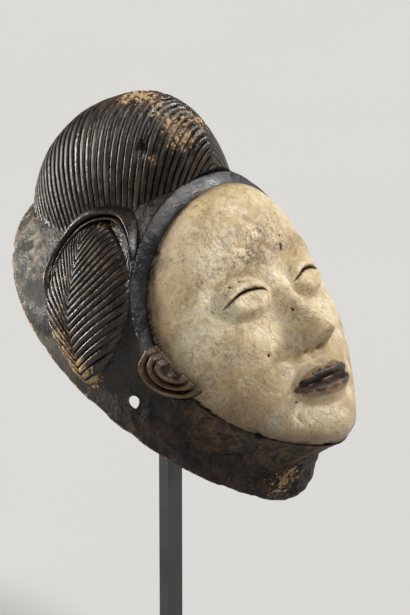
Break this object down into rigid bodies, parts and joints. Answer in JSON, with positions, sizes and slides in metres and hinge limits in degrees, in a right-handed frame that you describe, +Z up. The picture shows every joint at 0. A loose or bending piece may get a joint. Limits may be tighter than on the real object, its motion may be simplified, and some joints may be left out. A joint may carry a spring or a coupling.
{
  "type": "mask on display stand",
  "caption": "Hollow carved wooden face mask with a whitened face, ribbed crest and side tresses, held by a square-footed steel display stand.",
  "frame": {"origin": "middle of the stand's underside, on the axis of the post", "axes": "+Z up along the post, -Y the way the mask faces, +X towards the mask's own left side"},
  "size_m": [0.2214, 0.2472, 0.4403],
  "materials": {
    "carved_wood": "carved wood with dark patina and a kaolin-whitened face",
    "stand_paint": "satin black painted steel"
  },
  "bodies": {
    "root": {"mask": "carved_wood", "stand_crossbar": "stand_paint", "stand_post": "stand_paint", "stand_base": "stand_paint"}
  },
  "joints": []
}
